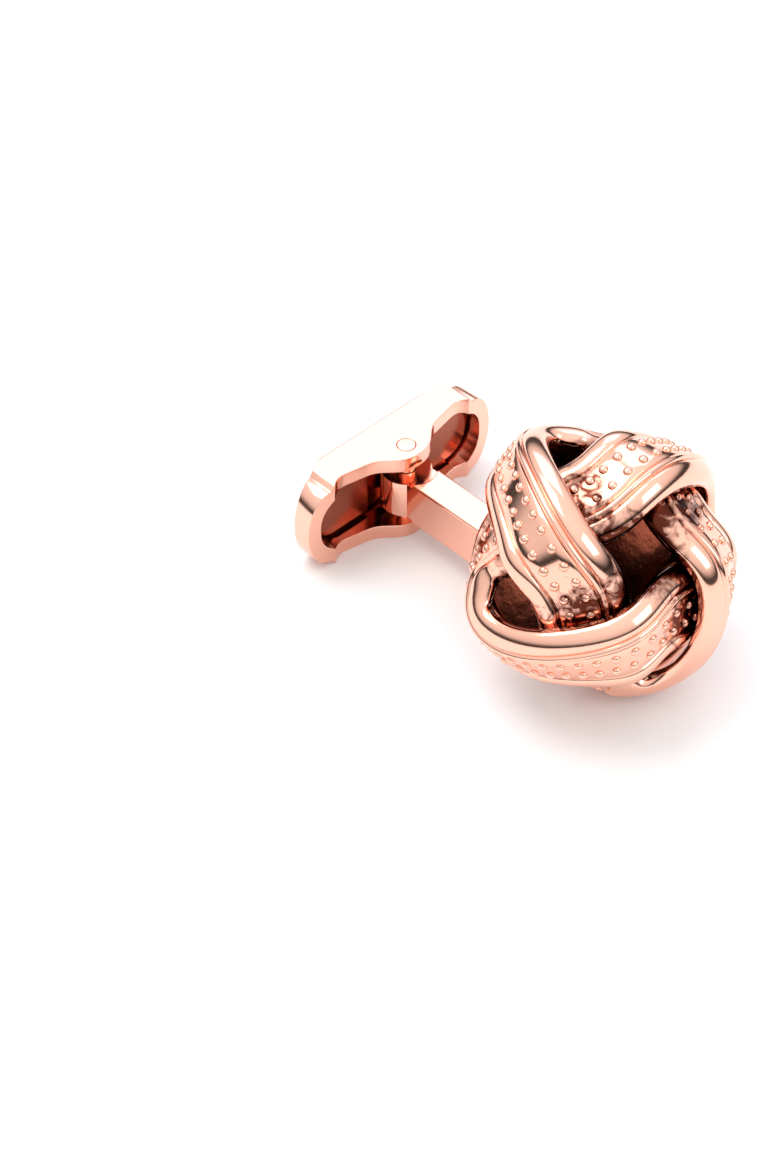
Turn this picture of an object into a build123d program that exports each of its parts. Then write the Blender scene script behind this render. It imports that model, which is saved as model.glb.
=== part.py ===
"""Knot cufflink: a hollow ball woven from two beaded bands, a curved post and a swivelling bar toggle.

X runs along the post from the toggle to the ball and Z is up. The cufflink lies on Z = 0, on the flat
side of its toggle and the belly of its ball, with the origin under the middle of its bounding box.
Lengths are millimetres and angles are degrees.
"""
import os
from math import atan2, cos, radians, sin, tan

from build123d import *

# Ball: two loops of band, the second one a quarter turn behind the first about the ball's own axis
BALL_RADIUS = 6.35
BALL_DEPTH_SHARE = 0.935
WEAVE_HEIGHT = 0.6
WEAVE_SQUARENESS = 0.15
LOOP_HALF_WIDTH = 40.0
LOOP_HALF_LENGTH = 104.0
LOOP_POWER = 2.6
LOOP_SKEW = 0.66
LOOP_SAMPLES = 720
QUARTER_TURN = 90.0

# Band's tilt about its own run: all along, highest at the turns, and highest where it passes over
BAND_TILT = 4.7
BAND_TILT_AT_TURNS = 6.5
BAND_TWIST = 12.2

# Share of its width that the band loses at the turns
BAND_NARROWING = 0.22

# Ball's place and pose at the end of the post
BALL_REACH = 14.0
BALL_AXIS_RISE = 43.5
BALL_AXIS_TURN = 10.5
BALL_SPIN = 8.0

# Band's section: roll, crease, ridge, groove, field with two rows of beads, groove, roll
BAND_WIDTH = 5.1
BAND_THICKNESS = 0.9
INNER_ROLL_WIDTH = 0.92
INNER_ROLL_DROP = 1.15
RIDGE_WIDTH = 0.45
RIDGE_RISE = 0.12
OUTER_ROLL_WIDTH = 1.25
OUTER_ROLL_DROP = 0.5
ROLL_BULGE = 0.4
ROLL_STEPS = 4
ROLL_UNDERCUT = 0.35
GROOVE_DEPTH = 0.15
GROOVE_WIDTH = 0.14

# Beads
BEAD_DIAMETER = 0.52
BEAD_HEIGHT = 0.22
BEAD_PITCH = 0.92
BEAD_ROW_SPACING = 1.1
BEAD_CELL_WIDTH = 0.8
BEAD_SIDES = 8
BEAD_FIRST_ANGLE = 202.5

# Toggle: a hollow bar, open towards the post, with a raised panel on its back and a plate in its hollow
TOGGLE_LENGTH = 13.6
TOGGLE_HEIGHT = 5.6
TOGGLE_WALL = 0.87
TOGGLE_BACK_WALL = 0.6
TOGGLE_FLAT_LENGTH = 10.0
TOGGLE_STEP_HEIGHT = 0.3
TOGGLE_STEP_WIDTH = 0.25
TOGGLE_BACK = 2.35
TOGGLE_BACK_FLAT_LENGTH = 8.6
TOGGLE_BACK_CORNER = 2.0
TOGGLE_END_BACK = 1.55
TOGGLE_END_FRONT = 0.45
TOGGLE_EYE_FRONT = 1.0
TOGGLE_SHOULDER_FRONT = -0.25
CAVITY_END_FLAT = 0.46
PANEL_END_INSET = 0.1
PANEL_SIDE_INSET = 0.25
PANEL_PROUD = 0.6
PANEL_CORNER = 0.6
PANEL_TAPER = 0.35
PLATE_GAP = 0.28
PLATE_SEAT_GAP = 0.05
PLATE_FACE = 1.2
PLATE_SLOT_GAP = 0.3
PLATE_EYE_GAP = 0.1

# Front edge of the toggle's side plates, from the eye to the shoulder:
# along: share of the flat length's half; rise: share of the way from the dip to the eye's front
TOGGLE_DIP = -0.45
WAVE_ROWS = [
    {"along": 0.00, "rise": 1.00},
    {"along": 0.22, "rise": 0.80},
    {"along": 0.42, "rise": 0.24},
    {"along": 0.68, "rise": 0.00},
]

# Post and pivot
PIN_DIAMETER = 1.0
PIN_RUNNING_GAP = 0.05
PIN_SEAT_GAP = 0.02
POST_WIDTH = 1.9
POST_SIDE_GAP = 0.48
POST_EYE_RADIUS = 1.4
POST_NECK_REACH = 1.95
POST_NECK_RADIUS = 1.15
POST_NECK_STEP = 0.3
POST_BEND_RADIUS = 7.0
POST_STRAIGHT_END = 0.05
POST_EDGE = 0.15

# Plate inside the ball's back, which the post is soldered to
BACK_PLATE_RADIUS = 5.3
BACK_PLATE_THICKNESS = 0.9
BACK_PLATE_SETBACK = 2.4


def signed_power(value, power):
    """Power of a value's size, with the value's sign."""
    return abs(value) ** power * (1 if value >= 0 else -1)


def loop_point(turn):
    """Point of a loop's middle line and its azimuth, in the ball's frame with the front along Z."""
    across = radians(-LOOP_HALF_WIDTH * signed_power(cos(radians(turn)), 2 / LOOP_POWER))
    along = radians(LOOP_HALF_LENGTH * signed_power(sin(radians(turn)), 2 / LOOP_POWER))
    heading = Vector(sin(across), cos(across) * sin(along), cos(across) * cos(along))
    azimuth = atan2(heading.Y, -heading.X)
    wave = sin(2 * azimuth) + WEAVE_SQUARENESS * sin(6 * azimuth)
    point = heading * (BALL_RADIUS + WEAVE_HEIGHT * wave / (1 - WEAVE_SQUARENESS))
    return Vector(point.X, point.Y, point.Z * BALL_DEPTH_SHARE), azimuth


def loop_stations():
    """Turns that divide a loop's middle line into equal steps, one for each pair of beads."""
    turns = [360 * step / LOOP_SAMPLES for step in range(LOOP_SAMPLES + 1)]
    points = [loop_point(turn)[0] for turn in turns]
    run = [0.0]
    for before, after in zip(points, points[1:]):
        run.append(run[-1] + (after - before).length)
    count = 2 * round(run[-1] / BEAD_PITCH / 2)
    stations = []
    sample = 0
    for index in range(count):
        goal = run[-1] * index / count
        while run[sample + 1] <= goal:
            sample += 1
        share = (goal - run[sample]) / (run[sample + 1] - run[sample])
        stations.append(turns[sample] + share * 360 / LOOP_SAMPLES)
    return stations


def roll(start, end):
    """Corners of a raised roll from start to end, bulging outward."""
    chord = Vector(*end) - Vector(*start)
    outward = Vector(-chord.Y, chord.X).normalized()
    outward = outward if outward.Y > 0 else -outward
    corners = []
    for step in range(ROLL_STEPS + 1):
        angle = radians(180 * step / ROLL_STEPS)
        corner = Vector(*start) + chord * (0.5 - 0.5 * cos(angle)) + outward * (ROLL_BULGE * sin(angle))
        corners.append((corner.X, corner.Y))
    return corners


def band_section():
    """Corners of the band's section, across and outward, and the first corner of each bead cell."""
    half, crown = BAND_WIDTH / 2, BAND_THICKNESS / 2
    floor = crown - GROOVE_DEPTH
    crease = half - INNER_ROLL_WIDTH
    inner_groove, outer_groove = crease - RIDGE_WIDTH, OUTER_ROLL_WIDTH - half
    middle = (inner_groove + outer_groove) / 2
    section = roll((half, crown - INNER_ROLL_DROP), (crease, floor))
    section += [
        (crease - RIDGE_WIDTH / 2, crown + RIDGE_RISE),
        (inner_groove, floor),
        (inner_groove - GROOVE_WIDTH, floor),
    ]
    cells = []
    for row in (middle + BEAD_ROW_SPACING / 2, middle - BEAD_ROW_SPACING / 2):
        cells.append(len(section))
        section += [(row + BEAD_CELL_WIDTH / 2, crown), (row - BEAD_CELL_WIDTH / 2, crown)]
    section.append((outer_groove + GROOVE_WIDTH, floor))
    section += roll((outer_groove, floor), (-half, crown - OUTER_ROLL_DROP))
    section += [
        (ROLL_UNDERCUT - half, -crown),
        (0, -crown),
        (half - ROLL_UNDERCUT, crown - INNER_ROLL_DROP - ROLL_UNDERCUT),
    ]
    return section, cells


def ball_frame():
    """Ball's axes in the part's frame: across, up the front and out of the front."""
    rise, turn, spin = radians(BALL_AXIS_RISE), radians(BALL_AXIS_TURN), radians(BALL_SPIN)
    front = Vector(cos(turn) * cos(rise), -sin(turn), cos(turn) * sin(rise))
    level = Vector(0, 0, 1).cross(front).normalized()
    upward = front.cross(level)
    return level * cos(spin) - upward * sin(spin), upward * cos(spin) + level * sin(spin), front


def band_corners(loop_turn):
    """Rows of section corners round a loop, in the part's directions from the ball's middle."""
    section, _ = band_section()
    level, upward, front = ball_frame()
    turns = loop_stations()
    points = [loop_point(turn) for turn in turns]
    quarter = Location((0, 0, 0), (0, 0, loop_turn))
    rows = []
    for index, (point, azimuth) in enumerate(points):
        run = (points[(index + 1) % len(points)][0] - points[index - 1][0]).normalized()
        inward = run.cross(point).normalized()
        outward = inward.cross(run)
        tilt = BAND_TILT - BAND_TILT_AT_TURNS * cos(2 * azimuth) + BAND_TWIST * sin(2 * azimuth)
        side = inward * cos(radians(tilt)) + outward * sin(radians(tilt))
        top = outward * cos(radians(tilt)) - inward * sin(radians(tilt))
        middle = point - side * (LOOP_SKEW * sin(2 * azimuth))
        width_share = 1 - BAND_NARROWING * (1 - cos(2 * azimuth)) / 2
        row = []
        for across, height in section:
            corner = (quarter * Pos(*(middle + side * across * width_share + top * height))).position
            row.append(level * corner.X + upward * corner.Y + front * corner.Z)
        rows.append(row)
    return rows


def bead_triangles(cell):
    """Triangles of one eight-sided bead raised from a four-cornered cell of the band's field."""
    middle = (cell[0] + cell[1] + cell[2] + cell[3]) / 4
    across = (cell[1] + cell[2] - cell[0] - cell[3]).normalized()
    along = (cell[2] + cell[3] - cell[0] - cell[1]).normalized()
    peak = middle - across.cross(along).normalized() * BEAD_HEIGHT
    # Two foot points lie next to each corner, the first of them at 202.5 degrees
    foot = []
    for step in range(BEAD_SIDES):
        angle = radians(BEAD_FIRST_ANGLE + 360 / BEAD_SIDES * step)
        foot.append(middle + (across * cos(angle) + along * sin(angle)) * (BEAD_DIAMETER / 2))
    triangles = [(foot[step - 1], foot[step], peak) for step in range(BEAD_SIDES)]
    for corner in range(4):
        near, far, beyond = foot[2 * corner], foot[2 * corner + 1], foot[(2 * corner + 2) % BEAD_SIDES]
        ahead = cell[(corner + 1) % 4]
        triangles += [(cell[corner], far, near), (cell[corner], ahead, far), (ahead, beyond, far)]
    return triangles


def band_solid(rows, cells):
    """Closed faceted solid of one loop of band."""
    triangles = []
    for index, row in enumerate(rows):
        ahead = rows[(index + 1) % len(rows)]
        for corner in range(len(row)):
            beside = (corner + 1) % len(row)
            cell = [row[corner], row[beside], ahead[beside], ahead[corner]]
            if corner in cells:
                triangles += bead_triangles(cell)
            else:
                triangles += [(cell[0], cell[1], cell[2]), (cell[0], cell[2], cell[3])]
    return Solid(Shell([Face(Wire.make_polygon(triangle, close=True)) for triangle in triangles]))


# Ball: its corners first, because they say how high its middle lies and where the origin is
bead_cells = band_section()[1]
first_rows, second_rows = band_corners(0), band_corners(-QUARTER_TURN)
corners = [corner for row in first_rows + second_rows for corner in row]
toggle_back = TOGGLE_BACK + PANEL_PROUD
pin_x = (toggle_back - BALL_REACH - max(corner.X for corner in corners)) / 2
pin_y = -(max(corner.Y for corner in corners) + min(corner.Y for corner in corners)) / 2
ball_middle = Vector(pin_x + BALL_REACH, pin_y, -min(corner.Z for corner in corners))
ball_place = Pos(*ball_middle)
ball_front = ball_frame()[2]

# Post: eye round the pin, level bar and bend up to the plate in the ball's back
cavity_length = TOGGLE_LENGTH - 2 * TOGGLE_WALL
cavity_height = TOGGLE_HEIGHT - 2 * TOGGLE_WALL
post_height = cavity_height - 2 * POST_SIDE_GAP
post_level = TOGGLE_HEIGHT / 2
axis_rise = radians(BALL_AXIS_RISE)
bend_corner = ball_middle.X - (ball_middle.Z - post_level) / tan(axis_rise)
post_end = ball_middle - Vector(cos(axis_rise), 0, sin(axis_rise)) * BACK_PLATE_SETBACK
across_bar = Plane((pin_x, pin_y, post_level), x_dir=(0, 1, 0), z_dir=(1, 0, 0))
# The bend is limited by the post's rising length
rising_length = (post_end.Z - post_level) / sin(axis_rise)
bend_radius = min(POST_BEND_RADIUS, (rising_length - POST_STRAIGHT_END) / tan(axis_rise / 2))

with BuildPart() as post:
    with BuildLine(Plane.XZ.offset(-pin_y)):
        FilletPolyline(
            (pin_x, post_level), (bend_corner, post_level), (post_end.X, post_end.Z), radius=bend_radius
        )
    with BuildSketch(across_bar):
        RectangleRounded(POST_WIDTH, post_height, POST_EDGE)
    sweep()
    with BuildSketch(Plane((pin_x, pin_y, post_level - post_height / 2))):
        Circle(POST_EYE_RADIUS)
    extrude(amount=post_height)
    # The neck is thinner, so that it passes between the side plates
    for face in (1, -1):
        with BuildSketch(Plane((pin_x, pin_y, post_level + face * post_height / 2))):
            Circle(POST_EYE_RADIUS + POST_EDGE)
            with Locations((POST_NECK_REACH - POST_NECK_RADIUS, 0)):
                Circle(POST_NECK_RADIUS)
        extrude(amount=-face * POST_NECK_STEP, mode=Mode.SUBTRACT)
    with BuildSketch(Plane(ball_middle - ball_front * BACK_PLATE_SETBACK, z_dir=ball_front)):
        Circle(BACK_PLATE_RADIUS)
    extrude(amount=BACK_PLATE_THICKNESS / 2, both=True)
    with BuildSketch(Plane((pin_x, pin_y, post_level - post_height / 2))):
        Circle(PIN_DIAMETER / 2 + PIN_RUNNING_GAP)
    extrude(amount=post_height, mode=Mode.SUBTRACT)

with BuildPart() as knot_with_post:
    bands = [ball_place * band_solid(rows, bead_cells) for rows in (first_rows, second_rows)]
    add([*bands, post.part])
knot_with_post.part.label = "knot_with_post"

# Toggle frame: its section across the bar and its plan, then the panel, the cavity and the pin's holes
cavity_corner = (cavity_height - CAVITY_END_FLAT) / 2
cavity_floor = TOGGLE_BACK_WALL - TOGGLE_BACK
flat_half = TOGGLE_FLAT_LENGTH / 2
wave = [
    (TOGGLE_DIP + row["rise"] * (TOGGLE_EYE_FRONT - TOGGLE_DIP), row["along"] * flat_half)
    for row in WAVE_ROWS
]

with BuildPart() as toggle_frame:
    with BuildSketch(across_bar):
        cap_start, cap_height = flat_half + TOGGLE_STEP_WIDTH, TOGGLE_HEIGHT / 2 - TOGGLE_STEP_HEIGHT
        with BuildLine():
            Polyline(
                (0, 0), (0, TOGGLE_HEIGHT / 2), (flat_half, TOGGLE_HEIGHT / 2), (cap_start, cap_height)
            )
            EllipticalCenterArc((cap_start, 0), TOGGLE_LENGTH / 2 - cap_start, cap_height, arc_size=90)
            Line((TOGGLE_LENGTH / 2, 0), (0, 0))
        make_face()
        mirror(about=Plane.XZ)
        mirror(about=Plane.YZ)
    extrude(amount=TOGGLE_LENGTH, both=True)
    with BuildSketch(Plane((pin_x, pin_y, 0))):
        with BuildLine():
            Polyline(
                (TOGGLE_EYE_FRONT, 0),
                (-TOGGLE_BACK, 0),
                (-TOGGLE_BACK, TOGGLE_BACK_FLAT_LENGTH / 2),
                (-TOGGLE_BACK_CORNER, flat_half),
                (-TOGGLE_END_BACK, TOGGLE_LENGTH / 2),
                (-TOGGLE_END_FRONT, TOGGLE_LENGTH / 2),
                (TOGGLE_SHOULDER_FRONT, flat_half),
            )
            Spline(*wave, (TOGGLE_SHOULDER_FRONT, flat_half), tangents=((0, 1), (1, 1)))
        make_face()
        mirror(about=Plane.XZ)
    extrude(amount=TOGGLE_HEIGHT, mode=Mode.INTERSECT)
    with BuildSketch(across_bar.offset(-toggle_back)):
        RectangleRounded(
            TOGGLE_BACK_FLAT_LENGTH - 2 * PANEL_END_INSET,
            TOGGLE_HEIGHT - 2 * PANEL_SIDE_INSET,
            PANEL_CORNER,
        )
    extrude(amount=PANEL_PROUD)
    chamfer(toggle_frame.faces().sort_by(Axis.X)[0].edges(), PANEL_TAPER)
    with BuildSketch(across_bar.offset(cavity_floor)):
        RectangleRounded(cavity_length, cavity_height, cavity_corner)
    extrude(amount=TOGGLE_LENGTH, mode=Mode.SUBTRACT)
    with BuildSketch(Plane((pin_x, pin_y, 0))):
        Circle(PIN_DIAMETER / 2 + PIN_SEAT_GAP)
    extrude(amount=TOGGLE_HEIGHT, mode=Mode.SUBTRACT)
toggle_frame.part.label = "toggle_frame"

# Toggle insert: a plate on the cavity's floor, slotted for the post's eye
plate_back = cavity_floor + PLATE_SEAT_GAP

with BuildPart() as toggle_insert:
    with BuildSketch(across_bar.offset(plate_back)):
        RectangleRounded(
            cavity_length - 2 * PLATE_GAP, cavity_height - 2 * PLATE_GAP, cavity_corner - PLATE_GAP
        )
    extrude(amount=-PLATE_FACE - plate_back)
    with BuildSketch(across_bar.offset(-POST_EYE_RADIUS - PLATE_EYE_GAP)):
        Rectangle(2 * (POST_EYE_RADIUS + PLATE_SLOT_GAP), TOGGLE_HEIGHT)
    extrude(amount=TOGGLE_LENGTH, mode=Mode.SUBTRACT)
toggle_insert.part.label = "toggle_insert"

with BuildPart() as pivot_pin:
    with BuildSketch(Plane((pin_x, pin_y, 0))):
        Circle(PIN_DIAMETER / 2)
    extrude(amount=TOGGLE_HEIGHT)
pivot_pin.part.label = "pivot_pin"

os.makedirs("parts", exist_ok=True)
export_step(knot_with_post.part, "parts/knot_with_post.step")
export_step(toggle_frame.part, "parts/toggle_frame.step")
export_step(toggle_insert.part, "parts/toggle_insert.step")
export_step(pivot_pin.part, "parts/pivot_pin.step")
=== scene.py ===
"""Rose-gold knot cufflink lying on a plain pale floor, under soft studio light.

The ball knot, the post and the toggle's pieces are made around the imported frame, in metres.
Sizes in the tables below are millimetres, unless they say otherwise, and become metres with MM.
"""
from math import atan2, cos, pi, radians, sin, tan

import bmesh
import bpy
from mathutils import Matrix, Vector


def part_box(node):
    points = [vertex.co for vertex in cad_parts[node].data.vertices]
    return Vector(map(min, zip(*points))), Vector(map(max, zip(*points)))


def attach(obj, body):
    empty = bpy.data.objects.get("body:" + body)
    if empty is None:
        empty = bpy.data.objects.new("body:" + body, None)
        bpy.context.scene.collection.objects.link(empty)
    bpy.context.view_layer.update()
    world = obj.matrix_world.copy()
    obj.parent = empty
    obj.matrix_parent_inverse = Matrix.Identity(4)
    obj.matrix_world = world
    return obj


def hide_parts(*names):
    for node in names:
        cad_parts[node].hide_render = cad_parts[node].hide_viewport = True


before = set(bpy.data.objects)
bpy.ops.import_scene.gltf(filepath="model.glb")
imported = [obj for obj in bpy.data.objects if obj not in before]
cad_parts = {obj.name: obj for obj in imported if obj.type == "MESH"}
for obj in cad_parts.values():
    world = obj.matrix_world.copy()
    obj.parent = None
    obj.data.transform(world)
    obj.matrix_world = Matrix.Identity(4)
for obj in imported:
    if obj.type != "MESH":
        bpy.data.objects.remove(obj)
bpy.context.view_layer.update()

MM = 0.001

# Ball knot: two loops of band, the second one a quarter turn behind the first
BALL_RADIUS = 6.35
BALL_DEPTH_SHARE = 0.935
WEAVE_HEIGHT = 0.6
WEAVE_SQUARENESS = 0.15
LOOP_HALF_WIDTH = 40.0
LOOP_HALF_LENGTH = 104.0
LOOP_POWER = 2.6
LOOP_SKEW = 0.66
LOOP_SAMPLES = 1440
BAND_TILT = 4.7
BAND_TILT_AT_TURNS = 6.5
BAND_TWIST = 12.2

# Share of its width that the band loses at the turns
BAND_NARROWING = 0.22

# Place of the ball from the pin, and its pose
BALL_REACH = 14.0
BALL_HEIGHT = 6.628
BALL_AXIS_RISE = 43.5
BALL_AXIS_TURN = 10.5
BALL_SPIN = 8.0

# Band's section
BAND_HALF_WIDTH = 2.49
FIELD_HEIGHT = 0.44
GROOVE_HEIGHT = 0.3
INNER_EDGE_HEIGHT = -0.69
OUTER_EDGE_HEIGHT = -0.05
INNER_CREASE = 1.63
INNER_GROOVE = 1.18
OUTER_GROOVE = -1.3
ROLL_BULGE = 0.315
ROLL_STEPS = 14

# Crease beside the inner roll and the small ridge between it and the field
CREASE_INSET = 0.03
CREASE_DEPTH = 0.07
RIDGE_INSET = 0.05
RIDGE_END_RISE = 0.02
RIDGE_BULGE = 0.24
RIDGE_STEPS = 8

# Corners of the beaded field: line across the band, shift from it, level, rise from it
FIELD_CORNERS = (
    (INNER_GROOVE, -0.04, GROOVE_HEIGHT, -0.02),
    (INNER_GROOVE, -0.08, GROOVE_HEIGHT, 0.0),
    (INNER_GROOVE, -0.12, FIELD_HEIGHT, -0.06),
    (INNER_GROOVE, -0.2, FIELD_HEIGHT, -0.01),
    (0.5, 0.0, FIELD_HEIGHT, 0.0),
    (0.0, 0.0, FIELD_HEIGHT, 0.0),
    (-0.55, 0.0, FIELD_HEIGHT, 0.0),
    (OUTER_GROOVE, 0.2, FIELD_HEIGHT, -0.01),
    (OUTER_GROOVE, 0.12, FIELD_HEIGHT, -0.05),
    (OUTER_GROOVE, 0.07, GROOVE_HEIGHT, 0.0),
    (OUTER_GROOVE, 0.02, GROOVE_HEIGHT, -0.03),
)

# Corners of the band's underside: across, outward
UNDERSIDE_CORNERS = (
    (-2.42, -0.25),
    (-2.15, -0.42),
    (-1.6, -0.45),
    (0.0, -0.45),
    (1.2, -0.62),
    (2.1, -1.0),
    (2.4, -0.92),
)

# The band's grid closes on itself where its points lie nearer than this
SEAM_DISTANCE = 0.002

# Beads
BEAD_COUNT = 50
STATIONS_A_BEAD = 4
BEAD_DIAMETER = 0.52
BEAD_HEIGHT = 0.185
BEAD_ROW_SPACING = 1.1
BEAD_SEGMENTS = 16
BEAD_RINGS = 10

# Post
POST_LEVEL = 2.8
POST_WIDTH = 1.9
POST_HEIGHT = 2.9
POST_EDGE = 0.2
POST_EYE_RADIUS = 1.4
POST_NECK_REACH = 1.95
POST_NECK_RADIUS = 1.15
POST_NECK_STEP = 0.3
POST_NECK_MARGIN = 0.15
POST_BEND_RADIUS = 7.0
POST_BEND_STEPS = 24
PIN_HOLE_RADIUS = 0.55
CORNER_STEPS = 4
CYLINDER_SEGMENTS = 96

# Plate that closes the hollow of the ball from behind
BACK_PLATE_RADIUS = 5.28
BACK_PLATE_THICKNESS = 0.88
BACK_PLATE_SETBACK = 2.4

# Rounded edges: their width on each piece, the angle that counts as an edge, and the steps round it
POST_ROUNDING = 0.06
BACK_PLATE_ROUNDING = 0.1
TOGGLE_ROUNDING = 0.1
TOGGLE_PLATE_ROUNDING = 0.04
PIN_ROUNDING = 0.03
EDGE_ANGLE = 30.0
ROUNDING_STEPS = 3
FULL_WEIGHT = 100

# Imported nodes: how near their doubled points lie, and the angle under which faces are one flat face
DOUBLES_DISTANCE = 0.0005
FLAT_ANGLE = 1.0

# Metal colours: polished, painted shade deep inside the knot, painted shade on the plate in the ball,
# painted shade on the plate in the toggle's hollow
GOLD = (0.98, 0.53, 0.4)
DEEP_SHADE_GOLD = (0.1, 0.022, 0.012)
PLATE_SHADE_GOLD = (0.2, 0.05, 0.028)
HOLLOW_SHADE_GOLD = (0.34, 0.1, 0.06)

# Metals: colour, roughness, relief and grain
METALS = {
    "rose_gold_knot": (GOLD, 0.11, 0.12, 1.0),
    "rose_gold_post": (GOLD, 0.13, 0.1, 1.0),
    "rose_gold_toggle": (GOLD, 0.13, 0.1, 1.0),
    "rose_gold_pin": (GOLD, 0.16, 0.1, 1.0),
    # Painted shade on the plate's face inside the ball, with its own rough relief
    "rose_gold_inside_shade": (PLATE_SHADE_GOLD, 0.3, 1.0, 5.0),
    # Painted shade on the plate in the toggle's hollow
    "rose_gold_hollow_shade": (HOLLOW_SHADE_GOLD, 0.2, 0.1, 1.0),
}
LIGHTER_SHARE = 1.04
ROUGHNESS_SPREAD_SHARE = 0.6

# Noise scales, a metre: cloudy colour, soft dents, fine scratches and their stretch, dark patches at the
# border of the painted shade
CLOUD_SCALE = 180.0
DENT_SCALE = 260.0
SCRATCH_SCALE = 900.0
SCRATCH_STRETCH = (1.0, 9.0, 5.0)
SCRATCH_SHARE = 0.05
WEAR_DEPTH = 0.05
PATCH_SCALE = 1400.0

# Painted shade: the knot's colour darkens from the clear radius inwards to the deep one, with patchy borders
DEEP_RADIUS = 5.9
CLEAR_RADIUS = 6.35
PATCHINESS = 1.6

# Floor
FLOOR_HALF_WIDTH = 900
FLOOR_GREY = 0.9
FLOOR_ROUGHNESS = 0.9

# The photo's view: camera's rise and distance, the lens, and where the pin stands and the post heads
CAMERA_RISE = 43.9
CAMERA_DISTANCE = 200.0
SENSOR_WIDTH = 36.0
FOCAL_SHARE = 3741.6 / 780
PIN_IN_VIEW = (0.87, 5.0)
POST_HEADING = -46.0

# Nearest and farthest that the camera sees, in metres
CLIP_START = 0.005
CLIP_END = 10.0

# Softboxes, in metres in the view's ground frame: name, place, side, radiance, colour
SOFTBOXES = (
    ("key_light", (-0.22, 0.1, 0.5), 0.35, 3.0, (1.0, 1.0, 1.0)),
    ("back_light", (0.05, 0.45, 0.42), 0.4, 0.85, (0.9, 0.98, 1.45)),
    ("fill_light", (0.4, -0.25, 0.35), 0.3, 2.0, (1.0, 1.0, 1.0)),
)

# Surroundings: height on a unit sphere and brightness, from the horizon to overhead
SKY_STOPS = ((0.0, 0.03), (0.13, 0.08), (0.3, 0.85), (0.6, 1.1), (1.0, 1.3))


def signed_power(value, power):
    """Power of a value's size, with the value's sign."""
    return abs(value) ** power * (1 if value >= 0 else -1)


def loop_point(turn):
    """Point of a loop's middle line and its azimuth, with the ball's front along Z."""
    across = radians(-LOOP_HALF_WIDTH * signed_power(cos(turn), 2 / LOOP_POWER))
    along = radians(LOOP_HALF_LENGTH * signed_power(sin(turn), 2 / LOOP_POWER))
    heading = Vector((sin(across), cos(across) * sin(along), cos(across) * cos(along)))
    azimuth = atan2(heading.y, -heading.x)
    wave = sin(2 * azimuth) + WEAVE_SQUARENESS * sin(6 * azimuth)
    point = heading * (BALL_RADIUS + WEAVE_HEIGHT * wave / (1 - WEAVE_SQUARENESS))
    return Vector((point.x, point.y, point.z * BALL_DEPTH_SHARE)), azimuth


def loop_stations(count):
    """Evenly spaced points of a loop with the band's inward and outward directions there."""
    turns = [2 * pi * step / LOOP_SAMPLES for step in range(LOOP_SAMPLES + 1)]
    points = [loop_point(turn)[0] for turn in turns]
    run = [0.0]
    for before, after in zip(points, points[1:]):
        run.append(run[-1] + (after - before).length)
    even, sample = [], 0
    for index in range(count):
        goal = run[-1] * index / count
        while run[sample + 1] <= goal:
            sample += 1
        share = (goal - run[sample]) / (run[sample + 1] - run[sample])
        even.append(loop_point(turns[sample] + share * 2 * pi / LOOP_SAMPLES))
    stations = []
    for index, (point, azimuth) in enumerate(even):
        ahead = (even[(index + 1) % count][0] - even[index - 1][0]).normalized()
        inward = ahead.cross(point).normalized()
        outward = inward.cross(ahead)
        tilt = radians(BAND_TILT - BAND_TILT_AT_TURNS * cos(2 * azimuth) + BAND_TWIST * sin(2 * azimuth))
        side = inward * cos(tilt) + outward * sin(tilt)
        top = outward * cos(tilt) - inward * sin(tilt)
        width_share = 1 - BAND_NARROWING * (1 - cos(2 * azimuth)) / 2
        stations.append((point - side * (LOOP_SKEW * sin(2 * azimuth)), side * width_share, top))
    return stations


def bulge(start, end, height, steps):
    """Points of a rounded ridge of the section from start to end."""
    chord = Vector(end) - Vector(start)
    outward = Vector((-chord.y, chord.x)).normalized()
    outward = outward if outward.y > 0 else -outward
    points = []
    for step in range(steps + 1):
        angle = pi * step / steps
        points.append(Vector(start) + chord * (0.5 - 0.5 * cos(angle)) + outward * (height * sin(angle)))
    return [tuple(point) for point in points]


def band_section():
    """Corners of the band's smooth section, across and outward."""
    inner_edge, inner_crease = (BAND_HALF_WIDTH, INNER_EDGE_HEIGHT), (INNER_CREASE, GROOVE_HEIGHT)
    outer_crease, outer_edge = (OUTER_GROOVE, GROOVE_HEIGHT), (-BAND_HALF_WIDTH, OUTER_EDGE_HEIGHT)
    ridge_start = (INNER_CREASE - RIDGE_INSET, GROOVE_HEIGHT)
    ridge_end = (INNER_GROOVE, GROOVE_HEIGHT + RIDGE_END_RISE)
    section = bulge(inner_edge, inner_crease, ROLL_BULGE, ROLL_STEPS)
    section.append((INNER_CREASE - CREASE_INSET, GROOVE_HEIGHT - CREASE_DEPTH))
    section += bulge(ridge_start, ridge_end, RIDGE_BULGE, RIDGE_STEPS)
    section += [(line + shift, level + rise) for line, shift, level, rise in FIELD_CORNERS]
    section += bulge(outer_crease, outer_edge, ROLL_BULGE, ROLL_STEPS)
    return section + list(UNDERSIDE_CORNERS)


def ball_frame():
    """Turn from the ball's own axes to the part's."""
    rise, turn, spin = radians(BALL_AXIS_RISE), radians(BALL_AXIS_TURN), radians(BALL_SPIN)
    front = Vector((cos(turn) * cos(rise), -sin(turn), cos(turn) * sin(rise)))
    level = Vector((0, 0, 1)).cross(front).normalized()
    upward = front.cross(level)
    across = level * cos(spin) - upward * sin(spin)
    return Matrix((across, upward * cos(spin) + level * sin(spin), front)).transposed()


# Node helpers


def new_socket(tree, name, kind, value=None, out=False):
    """Named input or output of a node tree."""
    socket = tree.interface.new_socket(name, in_out="OUTPUT" if out else "INPUT", socket_type=kind)
    if value is not None:
        socket.default_value = value
    return socket


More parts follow.
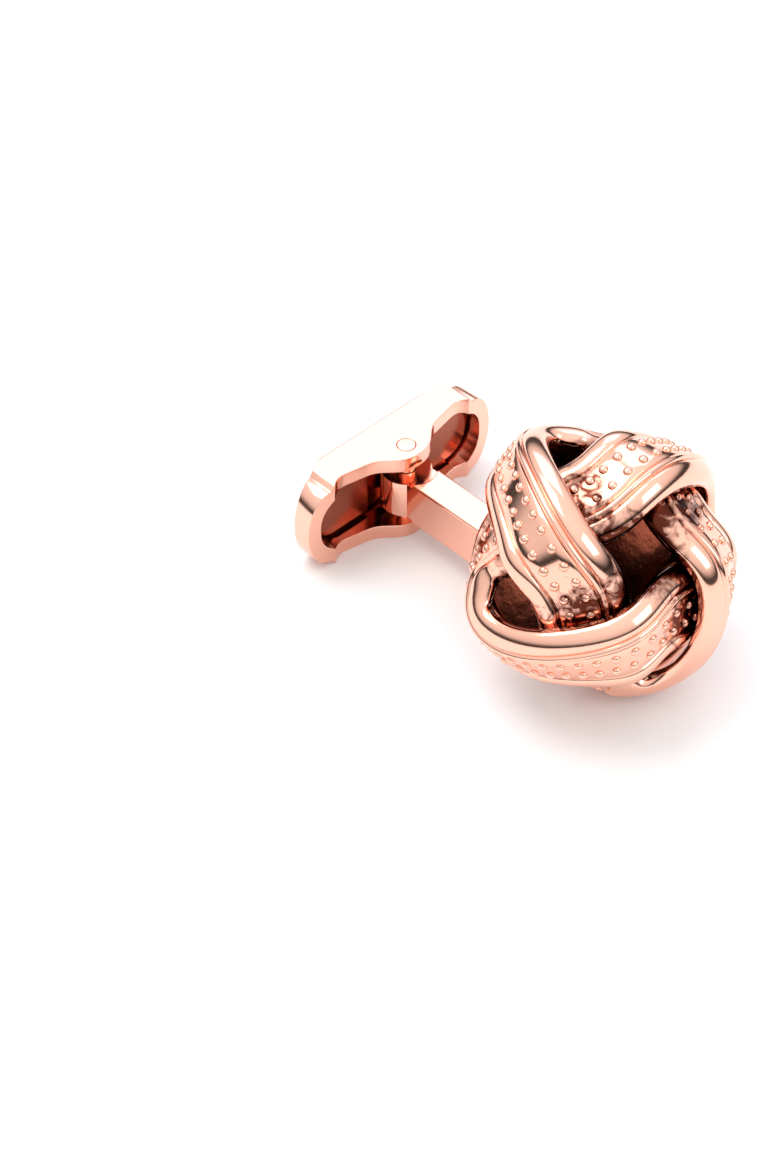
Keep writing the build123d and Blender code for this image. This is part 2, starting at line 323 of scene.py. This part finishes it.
def new_node(tree, kind, inputs=None, **settings):
    """Node with its settings, and its inputs set to values or linked to sockets."""
    made = tree.nodes.new(kind)
    for name, value in settings.items():
        setattr(made, name, value)
    for key, value in (inputs or {}).items():
        if isinstance(value, bpy.types.NodeSocket):
            tree.links.new(value, made.inputs[key])
        else:
            made.inputs[key].default_value = value
    return made


def math_node(tree, operation, first, second=0.0):
    """Result of a math node."""
    return new_node(tree, "ShaderNodeMath", {0: first, 1: second}, operation=operation).outputs[0]


def mixed_colour(tree, share, first, second):
    """Colour between two colours."""
    return new_node(tree, "ShaderNodeMix", {0: share, 6: first, 7: second}, data_type="RGBA").outputs[2]


def vector_sum(tree, first, second):
    """Sum of two vectors."""
    return new_node(tree, "ShaderNodeVectorMath", {0: first, 1: second}, operation="ADD").outputs[0]


def vector_times(tree, vector, factor):
    """Vector times a number."""
    made = new_node(tree, "ShaderNodeVectorMath", {0: vector, "Scale": factor}, operation="SCALE")
    return made.outputs[0]


def path_direction(tree, name):
    """Stored direction of the band's path."""
    made = new_node(tree, "GeometryNodeInputNamedAttribute", {"Name": name}, data_type="FLOAT_VECTOR")
    return made.outputs[0]


def sampled(tree, geometry, value, index):
    """Vector of a geometry's point."""
    made = new_node(
        tree,
        "GeometryNodeSampleIndex",
        {"Geometry": geometry, "Value": value, "Index": index},
        data_type="FLOAT_VECTOR",
        domain="POINT",
    )
    return made.outputs[0]


def point_count(tree, geometry):
    """Number of points of a mesh."""
    made = new_node(tree, "GeometryNodeAttributeDomainSize", {"Geometry": geometry}, component="MESH")
    return made.outputs["Point Count"]


def woven_knot_tree():
    """Geometry nodes: a section carried round a loop, two rows of beads, and the loop's turned twin."""
    tree = bpy.data.node_groups.new("woven_knot", "GeometryNodeTree")
    new_socket(tree, "Path", "NodeSocketGeometry")
    new_socket(tree, "Section", "NodeSocketObject")
    new_socket(tree, "Bead Diameter", "NodeSocketFloat", BEAD_DIAMETER * MM)
    new_socket(tree, "Bead Height", "NodeSocketFloat", BEAD_HEIGHT * MM)
    new_socket(tree, "Row Middle", "NodeSocketFloat", 0.0)
    new_socket(tree, "Row Spacing", "NodeSocketFloat", BEAD_ROW_SPACING * MM)
    new_socket(tree, "Field Height", "NodeSocketFloat", FIELD_HEIGHT * MM)
    new_socket(tree, "Stations A Bead", "NodeSocketInt", STATIONS_A_BEAD)
    new_socket(tree, "Twin Turn", "NodeSocketVector", (0, 0, -pi / 2))
    new_socket(tree, "Material", "NodeSocketMaterial")
    new_socket(tree, "Geometry", "NodeSocketGeometry", out=True)
    given = new_node(tree, "NodeGroupInput").outputs
    section = new_node(tree, "GeometryNodeObjectInfo", {"Object": given["Section"]}).outputs["Geometry"]
    position = new_node(tree, "GeometryNodeInputPosition").outputs[0]
    index = new_node(tree, "GeometryNodeInputIndex").outputs[0]

    # Grid with one row a section corner and one column a station, laid round the loop
    rows, columns = point_count(tree, section), point_count(tree, given["Path"])
    grid = new_node(
        tree,
        "GeometryNodeMeshGrid",
        {
            "Size X": rows,
            "Size Y": columns,
            "Vertices X": math_node(tree, "ADD", rows, 1.0),
            "Vertices Y": math_node(tree, "ADD", columns, 1.0),
        },
    ).outputs["Mesh"]
    place = new_node(tree, "ShaderNodeSeparateXYZ", {0: position}).outputs
    row = math_node(tree, "ROUND", math_node(tree, "ADD", place[0], math_node(tree, "MULTIPLY", rows, 0.5)))
    column = math_node(
        tree, "ROUND", math_node(tree, "ADD", place[1], math_node(tree, "MULTIPLY", columns, 0.5))
    )
    corner = sampled(tree, section, position, math_node(tree, "MODULO", row, rows))
    station = math_node(tree, "MODULO", column, columns)
    shape = new_node(tree, "ShaderNodeSeparateXYZ", {0: corner}).outputs
    side = sampled(tree, given["Path"], path_direction(tree, "side"), station)
    top = sampled(tree, given["Path"], path_direction(tree, "top"), station)
    spread = vector_sum(tree, vector_times(tree, side, shape[0]), vector_times(tree, top, shape[1]))
    middle = sampled(tree, given["Path"], position, station)
    band = new_node(
        tree, "GeometryNodeSetPosition", {"Geometry": grid, "Position": vector_sum(tree, middle, spread)}
    ).outputs[0]
    band = new_node(
        tree, "GeometryNodeMergeByDistance", {"Geometry": band, "Distance": SEAM_DISTANCE * MM}
    ).outputs[0]

    # Beads: one dome on each side of the field's middle, at one station a bead
    half_step = math_node(tree, "FLOOR", math_node(tree, "MULTIPLY", given["Stations A Bead"], 0.5))
    chosen = new_node(
        tree,
        "FunctionNodeCompare",
        {0: math_node(tree, "MODULO", index, given["Stations A Bead"]), 1: half_step},
        data_type="FLOAT",
        operation="EQUAL",
    ).outputs[0]
    points = new_node(
        tree, "GeometryNodeMeshToPoints", {"Mesh": given["Path"], "Selection": chosen}
    ).outputs[0]
    radius = math_node(tree, "MULTIPLY", given["Bead Diameter"], 0.5)
    ball = new_node(
        tree,
        "GeometryNodeMeshUVSphere",
        {"Segments": BEAD_SEGMENTS, "Rings": BEAD_RINGS, "Radius": radius},
    ).outputs["Mesh"]
    flatten = new_node(
        tree,
        "ShaderNodeCombineXYZ",
        {0: 1.0, 1: 1.0, 2: math_node(tree, "DIVIDE", given["Bead Height"], radius)},
    ).outputs[0]
    dome = new_node(tree, "GeometryNodeTransform", {"Geometry": ball, "Scale": flatten}).outputs[0]
    facing = new_node(
        tree, "FunctionNodeAlignRotationToVector", {"Vector": path_direction(tree, "top")}, axis="Z"
    ).outputs[0]
    lift = vector_times(tree, path_direction(tree, "top"), given["Field Height"])
    parts = [band]
    for half in (0.5, -0.5):
        spacing = math_node(tree, "MULTIPLY", given["Row Spacing"], half)
        across = math_node(tree, "ADD", given["Row Middle"], spacing)
        offset = vector_sum(tree, vector_times(tree, path_direction(tree, "side"), across), lift)
        row_points = new_node(
            tree, "GeometryNodeSetPosition", {"Geometry": points, "Offset": offset}
        ).outputs[0]
        beads = new_node(
            tree,
            "GeometryNodeInstanceOnPoints",
            {"Points": row_points, "Instance": dome, "Rotation": facing},
        ).outputs[0]
        parts.append(new_node(tree, "GeometryNodeRealizeInstances", {"Geometry": beads}).outputs[0])
    loop = new_node(tree, "GeometryNodeJoinGeometry")
    for part in parts:
        tree.links.new(part, loop.inputs[0])
    twin = new_node(
        tree, "GeometryNodeTransform", {"Geometry": loop.outputs[0], "Rotation": given["Twin Turn"]}
    ).outputs[0]
    knot = new_node(tree, "GeometryNodeJoinGeometry")
    tree.links.new(loop.outputs[0], knot.inputs[0])
    tree.links.new(twin, knot.inputs[0])
    whole = new_node(tree, "GeometryNodeRealizeInstances", {"Geometry": knot.outputs[0]}).outputs[0]
    smooth = new_node(
        tree, "GeometryNodeSetShadeSmooth", {"Geometry": whole, "Shade Smooth": True}
    ).outputs[0]
    finished = new_node(
        tree, "GeometryNodeSetMaterial", {"Geometry": smooth, "Material": given["Material"]}
    ).outputs[0]
    new_node(tree, "NodeGroupOutput", {0: finished})
    return tree


# Object helpers


def new_object(name, mesh):
    """Object of a mesh, in the scene."""
    made = bpy.data.objects.new(name, mesh)
    bpy.context.scene.collection.objects.link(made)
    return made


def mesh_of(points, edges=(), faces=()):
    """Mesh from points in millimetres."""
    mesh = bpy.data.meshes.new("mesh")
    mesh.from_pydata([tuple(Vector(point) * MM) for point in points], list(edges), list(faces))
    return mesh


def apply_modifiers(piece):
    """Replace a piece's mesh by what its modifiers make of it."""
    bpy.context.view_layer.update()
    shown = piece.evaluated_get(bpy.context.evaluated_depsgraph_get())
    mesh = bpy.data.meshes.new_from_object(shown)
    piece.modifiers.clear()
    piece.data = mesh
    return piece


def remove_objects(*helpers):
    """Delete helper objects."""
    for helper in helpers:
        bpy.data.objects.remove(helper)


def soften_edges(piece, width):
    """Round a piece's edges and shade its curved faces smooth."""
    rounding = piece.modifiers.new("rounding", "BEVEL")
    rounding.width = width * MM
    rounding.segments = ROUNDING_STEPS
    rounding.limit_method = "ANGLE"
    rounding.angle_limit = radians(EDGE_ANGLE)
    rounding.use_clamp_overlap = True
    apply_modifiers(piece)
    piece.data.polygons.foreach_set("use_smooth", [True] * len(piece.data.polygons))
    piece.data.set_sharp_from_angle(angle=radians(EDGE_ANGLE))
    flat_shading = piece.modifiers.new("flat_shading", "WEIGHTED_NORMAL")
    flat_shading.keep_sharp = True
    flat_shading.weight = FULL_WEIGHT
    return apply_modifiers(piece)


def rounded_rectangle(width, height, corner):
    """Corners of a rounded rectangle."""
    points = []
    for quarter in range(4):
        middle_x = (width / 2 - corner) * (1 if quarter in (0, 3) else -1)
        middle_y = (height / 2 - corner) * (1 if quarter in (0, 1) else -1)
        for step in range(CORNER_STEPS + 1):
            angle = pi / 2 * (quarter + step / CORNER_STEPS)
            points.append((middle_x + corner * cos(angle), middle_y + corner * sin(angle)))
    return points


def post_path():
    """Points of the post's middle line and its slope there: level, then bent up to the ball's axis."""
    rise = radians(BALL_AXIS_RISE)
    bend_corner = ball_middle.x - (ball_middle.z - POST_LEVEL) / tan(rise)
    before = POST_BEND_RADIUS * tan(rise / 2)
    path = [(pin.x, POST_LEVEL, 0.0)]
    for step in range(POST_BEND_STEPS + 1):
        slope = rise * step / POST_BEND_STEPS
        path.append(
            (
                bend_corner - before + POST_BEND_RADIUS * sin(slope),
                POST_LEVEL + POST_BEND_RADIUS * (1 - cos(slope)),
                slope,
            )
        )
    end = ball_middle - Vector((cos(rise), 0, sin(rise))) * BACK_PLATE_SETBACK
    path.append((end.x, end.z, rise))
    return path


def swept_mesh(path, outline):
    """Closed solid of an outline carried along a path in the post's upright plane."""
    points, faces = [], []
    for x, z, slope in path:
        for across, height in outline:
            points.append((x - sin(slope) * height, pin.y + across, z + cos(slope) * height))
    around = len(outline)
    for ring in range(len(path) - 1):
        for corner in range(around):
            after = (corner + 1) % around
            low, high = ring * around, (ring + 1) * around
            faces.append((low + corner, low + after, high + after, high + corner))
    faces.append(tuple(reversed(range(around))))
    faces.append(tuple((len(path) - 1) * around + corner for corner in range(around)))
    mesh = mesh_of(points, faces=faces)
    shape = bmesh.new()
    shape.from_mesh(mesh)
    bmesh.ops.recalc_face_normals(shape, faces=shape.faces)
    shape.to_mesh(mesh)
    shape.free()
    return mesh


def upright_cylinder(radius, middle, height):
    """Closed cylinder about an upright axis."""
    shape = bmesh.new()
    bmesh.ops.create_cone(
        shape,
        cap_ends=True,
        segments=CYLINDER_SEGMENTS,
        radius1=radius * MM,
        radius2=radius * MM,
        depth=height * MM,
        matrix=Matrix.Translation(Vector(middle) * MM),
    )
    mesh = bpy.data.meshes.new("cylinder")
    shape.to_mesh(mesh)
    shape.free()
    return mesh


def carve(piece, tool, operation):
    """Join a tool to a piece or cut it away, and delete the tool."""
    cut = piece.modifiers.new("cut", "BOOLEAN")
    cut.operation = operation
    cut.object = tool
    cut.solver = "EXACT"
    apply_modifiers(piece)
    remove_objects(tool)


def dressed_copy(node, name, width, material):
    """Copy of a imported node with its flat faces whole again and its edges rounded."""
    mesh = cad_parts[node].data.copy()
    shape = bmesh.new()
    shape.from_mesh(mesh)
    bmesh.ops.remove_doubles(shape, verts=shape.verts, dist=DOUBLES_DISTANCE * MM)
    bmesh.ops.dissolve_limit(shape, angle_limit=radians(FLAT_ANGLE), verts=shape.verts, edges=shape.edges)
    shape.to_mesh(mesh)
    shape.free()
    piece = new_object(name, mesh)
    mesh.materials.clear()
    mesh.materials.append(material)
    soften_edges(piece, width)
    return piece


def finish_piece(piece, body, slot, *nodes):
    """Let a piece ride on its body and stand for its nodes; the slot is not used."""
    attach(piece, body)
    if nodes:
        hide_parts(*nodes)


def softbox(name, place, size, radiance, colour):
    """Square soft light aimed at the part, placed in the view's ground frame."""
    data = bpy.data.lights.new(name, "AREA")
    data.shape = "SQUARE"
    data.size = size
    data.energy = radiance * pi * size * size
    data.color = colour
    made = new_object(name, data)
    where = to_part @ Vector(place)
    made.matrix_world = Matrix.Translation(where) @ (-where).to_track_quat("-Z", "Y").to_matrix().to_4x4()


# Materials


def wear_group():
    """Shader nodes: faint scratches and soft dents of polished metal."""
    group = bpy.data.node_groups.new("polish_wear", "ShaderNodeTree")
    new_socket(group, "Scale", "NodeSocketFloat", 1.0)
    new_socket(group, "Roughness", "NodeSocketFloat", 0.1)
    new_socket(group, "Roughness Spread", "NodeSocketFloat", 0.05)
    new_socket(group, "Relief", "NodeSocketFloat", 0.1)
    new_socket(group, "Roughness", "NodeSocketFloat", out=True)
    new_socket(group, "Normal", "NodeSocketVector", out=True)
    given = new_node(group, "NodeGroupInput").outputs
    place = new_node(group, "ShaderNodeTexCoord").outputs["Object"]
    soft = new_node(
        group,
        "ShaderNodeTexNoise",
        {"Vector": place, "Scale": math_node(group, "MULTIPLY", given["Scale"], DENT_SCALE), "Detail": 3.0},
    ).outputs[0]
    stretched = new_node(group, "ShaderNodeMapping", {"Vector": place, "Scale": SCRATCH_STRETCH}).outputs[0]
    scratch_scale = math_node(group, "MULTIPLY", given["Scale"], SCRATCH_SCALE)
    scratch = new_node(
        group, "ShaderNodeTexNoise", {"Vector": stretched, "Scale": scratch_scale, "Detail": 6.0}
    ).outputs[0]
    about_zero = math_node(group, "SUBTRACT", scratch, 0.5)
    spread = math_node(group, "MULTIPLY", about_zero, given["Roughness Spread"])
    rough = math_node(group, "ADD", given["Roughness"], spread)
    height = math_node(group, "ADD", soft, math_node(group, "MULTIPLY", scratch, SCRATCH_SHARE))
    bump = new_node(
        group,
        "ShaderNodeBump",
        {"Height": height, "Strength": given["Relief"], "Distance": WEAR_DEPTH * MM},
    ).outputs[0]
    new_node(group, "NodeGroupOutput", {0: rough, 1: bump})
    return group


def painted_recess_shade_group():
    """Shader nodes: mask of the painted shade, on the places that lie deep inside the ball."""
    group = bpy.data.node_groups.new("ball_recess_painted_shade", "ShaderNodeTree")
    new_socket(group, "Centre", "NodeSocketVector")
    new_socket(group, "Deep Radius", "NodeSocketFloat", DEEP_RADIUS * MM)
    new_socket(group, "Clear Radius", "NodeSocketFloat", CLEAR_RADIUS * MM)
    new_socket(group, "Patchiness", "NodeSocketFloat", PATCHINESS * MM)
    new_socket(group, "Mask", "NodeSocketFloat", out=True)
    given = new_node(group, "NodeGroupInput").outputs
    place = new_node(group, "ShaderNodeTexCoord").outputs["Object"]
    away = new_node(group, "ShaderNodeVectorMath", {0: place, 1: given["Centre"]}, operation="DISTANCE")
    patches = new_node(
        group,
        "ShaderNodeTexNoise",
        {"Vector": place, "Scale": PATCH_SCALE, "Detail": 5.0, "Distortion": 1.2},
    ).outputs[0]
    shift = math_node(group, "MULTIPLY", math_node(group, "SUBTRACT", patches, 0.5), given["Patchiness"])
    mask = new_node(
        group,
        "ShaderNodeMapRange",
        {
            "Value": math_node(group, "ADD", away.outputs["Value"], shift),
            "From Min": given["Deep Radius"],
            "From Max": given["Clear Radius"],
            "To Min": 1.0,
            "To Max": 0.0,
        },
    ).outputs[0]
    new_node(group, "NodeGroupOutput", {0: mask})
    return group


def rose_gold(name, wear, recess=None, centre=None):
    """Polished rose gold, with painted shade deep inside the knot where a recess group and its centre are
    given.
    """
    colour, roughness, relief, grain = METALS[name]
    material = bpy.data.materials.new(name)
    material.use_nodes = True
    tree = material.node_tree
    shader = tree.nodes["Principled BSDF"]
    shader.inputs["Metallic"].default_value = 1.0
    worn = new_node(
        tree,
        "ShaderNodeGroup",
        {
            "Scale": grain,
            "Roughness": roughness,
            "Roughness Spread": roughness * ROUGHNESS_SPREAD_SHARE,
            "Relief": relief,
        },
        node_tree=wear,
    )
    tree.links.new(worn.outputs["Roughness"], shader.inputs["Roughness"])
    tree.links.new(worn.outputs["Normal"], shader.inputs["Normal"])
    place = new_node(tree, "ShaderNodeTexCoord").outputs["Object"]
    cloud = new_node(
        tree, "ShaderNodeTexNoise", {"Vector": place, "Scale": CLOUD_SCALE, "Detail": 2.0}
    ).outputs[0]
    lighter = tuple(min(1.0, part * LIGHTER_SHARE) for part in colour)
    colour_out = mixed_colour(tree, cloud, (*colour, 1.0), (*lighter, 1.0))
    # Painted shade: the colour darkens towards the ball's middle
    if recess:
        deep = new_node(tree, "ShaderNodeGroup", {"Centre": centre}, node_tree=recess).outputs["Mask"]
        colour_out = mixed_colour(tree, deep, colour_out, (*DEEP_SHADE_GOLD, 1.0))
    tree.links.new(colour_out, shader.inputs["Base Color"])
    return material


# Pin and ball in the part's frame, in millimetres
pin_low, pin_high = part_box("pivot_pin")
pin = (pin_low + pin_high) / 2 / MM
ball_middle = Vector((pin.x + BALL_REACH, pin.y, BALL_HEIGHT))
ball_turn = ball_frame()

wear = wear_group()
knot_gold = rose_gold("rose_gold_knot", wear, painted_recess_shade_group(), ball_middle * MM)
post_gold = rose_gold("rose_gold_post", wear)
toggle_gold = rose_gold("rose_gold_toggle", wear)
pin_gold = rose_gold("rose_gold_pin", wear)
inside_shade_gold = rose_gold("rose_gold_inside_shade", wear)
hollow_shade_gold = rose_gold("rose_gold_hollow_shade", wear)

# Ball knot
stations = loop_stations(BEAD_COUNT * STATIONS_A_BEAD)
count = len(stations)
knot = new_object(
    "woven_ball_knot",
    mesh_of([place for place, _, _ in stations], [(step, (step + 1) % count) for step in range(count)]),
)
for attribute, column in (("side", 1), ("top", 2)):
    stored = knot.data.attributes.new(attribute, "FLOAT_VECTOR", "POINT")
    stored.data.foreach_set("vector", [part for station in stations for part in station[column]])
corners = band_section()
section = new_object("section", mesh_of([(across, height, 0) for across, height in corners]))
weave = knot.modifiers.new("weave", "NODES")
weave.node_group = woven_knot_tree()
sockets = {item.name: item.identifier for item in weave.node_group.interface.items_tree}
weave[sockets["Section"]] = section
weave[sockets["Row Middle"]] = (INNER_GROOVE + OUTER_GROOVE) / 2 * MM
weave[sockets["Material"]] = knot_gold
apply_modifiers(knot)
knot.data.transform(Matrix.Translation(ball_middle * MM) @ ball_turn.to_4x4())
remove_objects(section)

# Post: swept bar, eye, thinner neck and the pin's hole, then the plate inside the ball
post_outline = rounded_rectangle(POST_WIDTH, POST_HEIGHT, POST_EDGE)
post = new_object("curved_post", swept_mesh(post_path(), post_outline))
eye = new_object("eye", upright_cylinder(POST_EYE_RADIUS, (pin.x, pin.y, POST_LEVEL), POST_HEIGHT))
carve(post, eye, "UNION")
for face in (1, -1):
    level = POST_LEVEL + face * POST_HEIGHT / 2
    neck_middle = pin.x + POST_NECK_REACH - POST_NECK_RADIUS
    for radius, middle in ((POST_EYE_RADIUS + POST_NECK_MARGIN, pin.x), (POST_NECK_RADIUS, neck_middle)):
        tool = new_object("tool", upright_cylinder(radius, (middle, pin.y, level), 2 * POST_NECK_STEP))
        carve(post, tool, "DIFFERENCE")
hole = new_object("hole", upright_cylinder(PIN_HOLE_RADIUS, (pin.x, pin.y, POST_LEVEL), 2 * POST_HEIGHT))
carve(post, hole, "DIFFERENCE")
post.data.materials.clear()
post.data.materials.append(post_gold)
soften_edges(post, POST_ROUNDING)

ball_front = ball_turn.col[2]
plate_mesh = upright_cylinder(BACK_PLATE_RADIUS, (0, 0, 0), BACK_PLATE_THICKNESS)
back_plate = new_object("ball_back_plate", plate_mesh)
plate_middle = ball_middle - ball_front * BACK_PLATE_SETBACK
back_plate.data.transform(Matrix.Translation(plate_middle * MM) @ ball_turn.to_4x4())
back_plate.data.materials.append(inside_shade_gold)
back_plate.data.materials.append(post_gold)
soften_edges(back_plate, BACK_PLATE_ROUNDING)
# Painted shade: the face inside the ball takes a dark colour, and the face behind and the rim are polished
for face in back_plate.data.polygons:
    face.material_index = 0 if face.normal.dot(ball_front) > 0.5 else 1

# Toggle's pieces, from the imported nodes
toggle = dressed_copy("toggle_frame", "toggle_bar", TOGGLE_ROUNDING, toggle_gold)
# The plate in the toggle's hollow takes a darker colour: painted shade of the hollow
plate = dressed_copy("toggle_insert", "toggle_plate", TOGGLE_PLATE_ROUNDING, hollow_shade_gold)
pivot = dressed_copy("pivot_pin", "toggle_pin", PIN_ROUNDING, pin_gold)

finish_piece(knot, "knot", "rose_gold", "knot_with_post")
finish_piece(post, "knot", "rose_gold")
finish_piece(back_plate, "knot", "rose_gold")
finish_piece(toggle, "toggle", "toggle_rose_gold", "toggle_frame")
finish_piece(plate, "toggle", "toggle_rose_gold", "toggle_insert")
finish_piece(pivot, "toggle", "pin_rose_gold", "pivot_pin")

# Floor
floor_material = bpy.data.materials.new("pale_floor")
floor_material.use_nodes = True
floor_shader = floor_material.node_tree.nodes["Principled BSDF"]
floor_shader.inputs["Base Color"].default_value = (FLOOR_GREY, FLOOR_GREY, FLOOR_GREY, 1.0)
floor_shader.inputs["Roughness"].default_value = FLOOR_ROUGHNESS
floor_signs = ((-1, -1), (1, -1), (1, 1), (-1, 1))
floor_corners = [(x * FLOOR_HALF_WIDTH, y * FLOOR_HALF_WIDTH, 0) for x, y in floor_signs]
floor = new_object("floor", mesh_of(floor_corners, faces=[(0, 1, 2, 3)]))
floor.data.materials.append(floor_material)

# Camera at the photo's angle: placed in the view's own ground frame, then carried to the part's
to_part = (
    Matrix.Translation(Vector((pin.x, pin.y, 0)) * MM)
    @ Matrix.Rotation(radians(-POST_HEADING), 4, "Z")
    @ Matrix.Translation(Vector((-PIN_IN_VIEW[0], -PIN_IN_VIEW[1], 0)) * MM)
)
camera_data = bpy.data.cameras.new("camera")
camera_data.sensor_fit = "HORIZONTAL"
camera_data.sensor_width = SENSOR_WIDTH
camera_data.lens = SENSOR_WIDTH * FOCAL_SHARE
camera_data.clip_start = CLIP_START
camera_data.clip_end = CLIP_END
camera = new_object("camera", camera_data)
away = Vector((0, -cos(radians(CAMERA_RISE)), sin(radians(CAMERA_RISE)))) * CAMERA_DISTANCE * MM
camera.matrix_world = to_part @ Matrix.Translation(away) @ Matrix.Rotation(radians(90 - CAMERA_RISE), 4, "X")
bpy.context.scene.camera = camera

# Lights
for row in SOFTBOXES:
    softbox(*row)

# Studio surroundings: bright overhead, dim towards the horizon
world = bpy.data.worlds.new("studio")
bpy.context.scene.world = world
world.use_nodes = True
sky = world.node_tree
direction = new_node(sky, "ShaderNodeTexCoord").outputs["Generated"]
height = new_node(sky, "ShaderNodeSeparateXYZ", {0: direction}).outputs[2]
ramp = new_node(sky, "ShaderNodeValToRGB", {0: height})
stops = ramp.color_ramp.elements
for stop, (position, grey) in ((stops[0], SKY_STOPS[0]), (stops[1], SKY_STOPS[-1])):
    stop.position = position
    stop.color = (grey, grey, grey, 1.0)
for position, grey in SKY_STOPS[1:-1]:
    stops.new(position).color = (grey, grey, grey, 1.0)
sky.links.new(ramp.outputs[0], sky.nodes["Background"].inputs[0])
sky.nodes["Background"].inputs[1].default_value = 1.0
bpy.context.scene.view_settings.view_transform = "Standard"
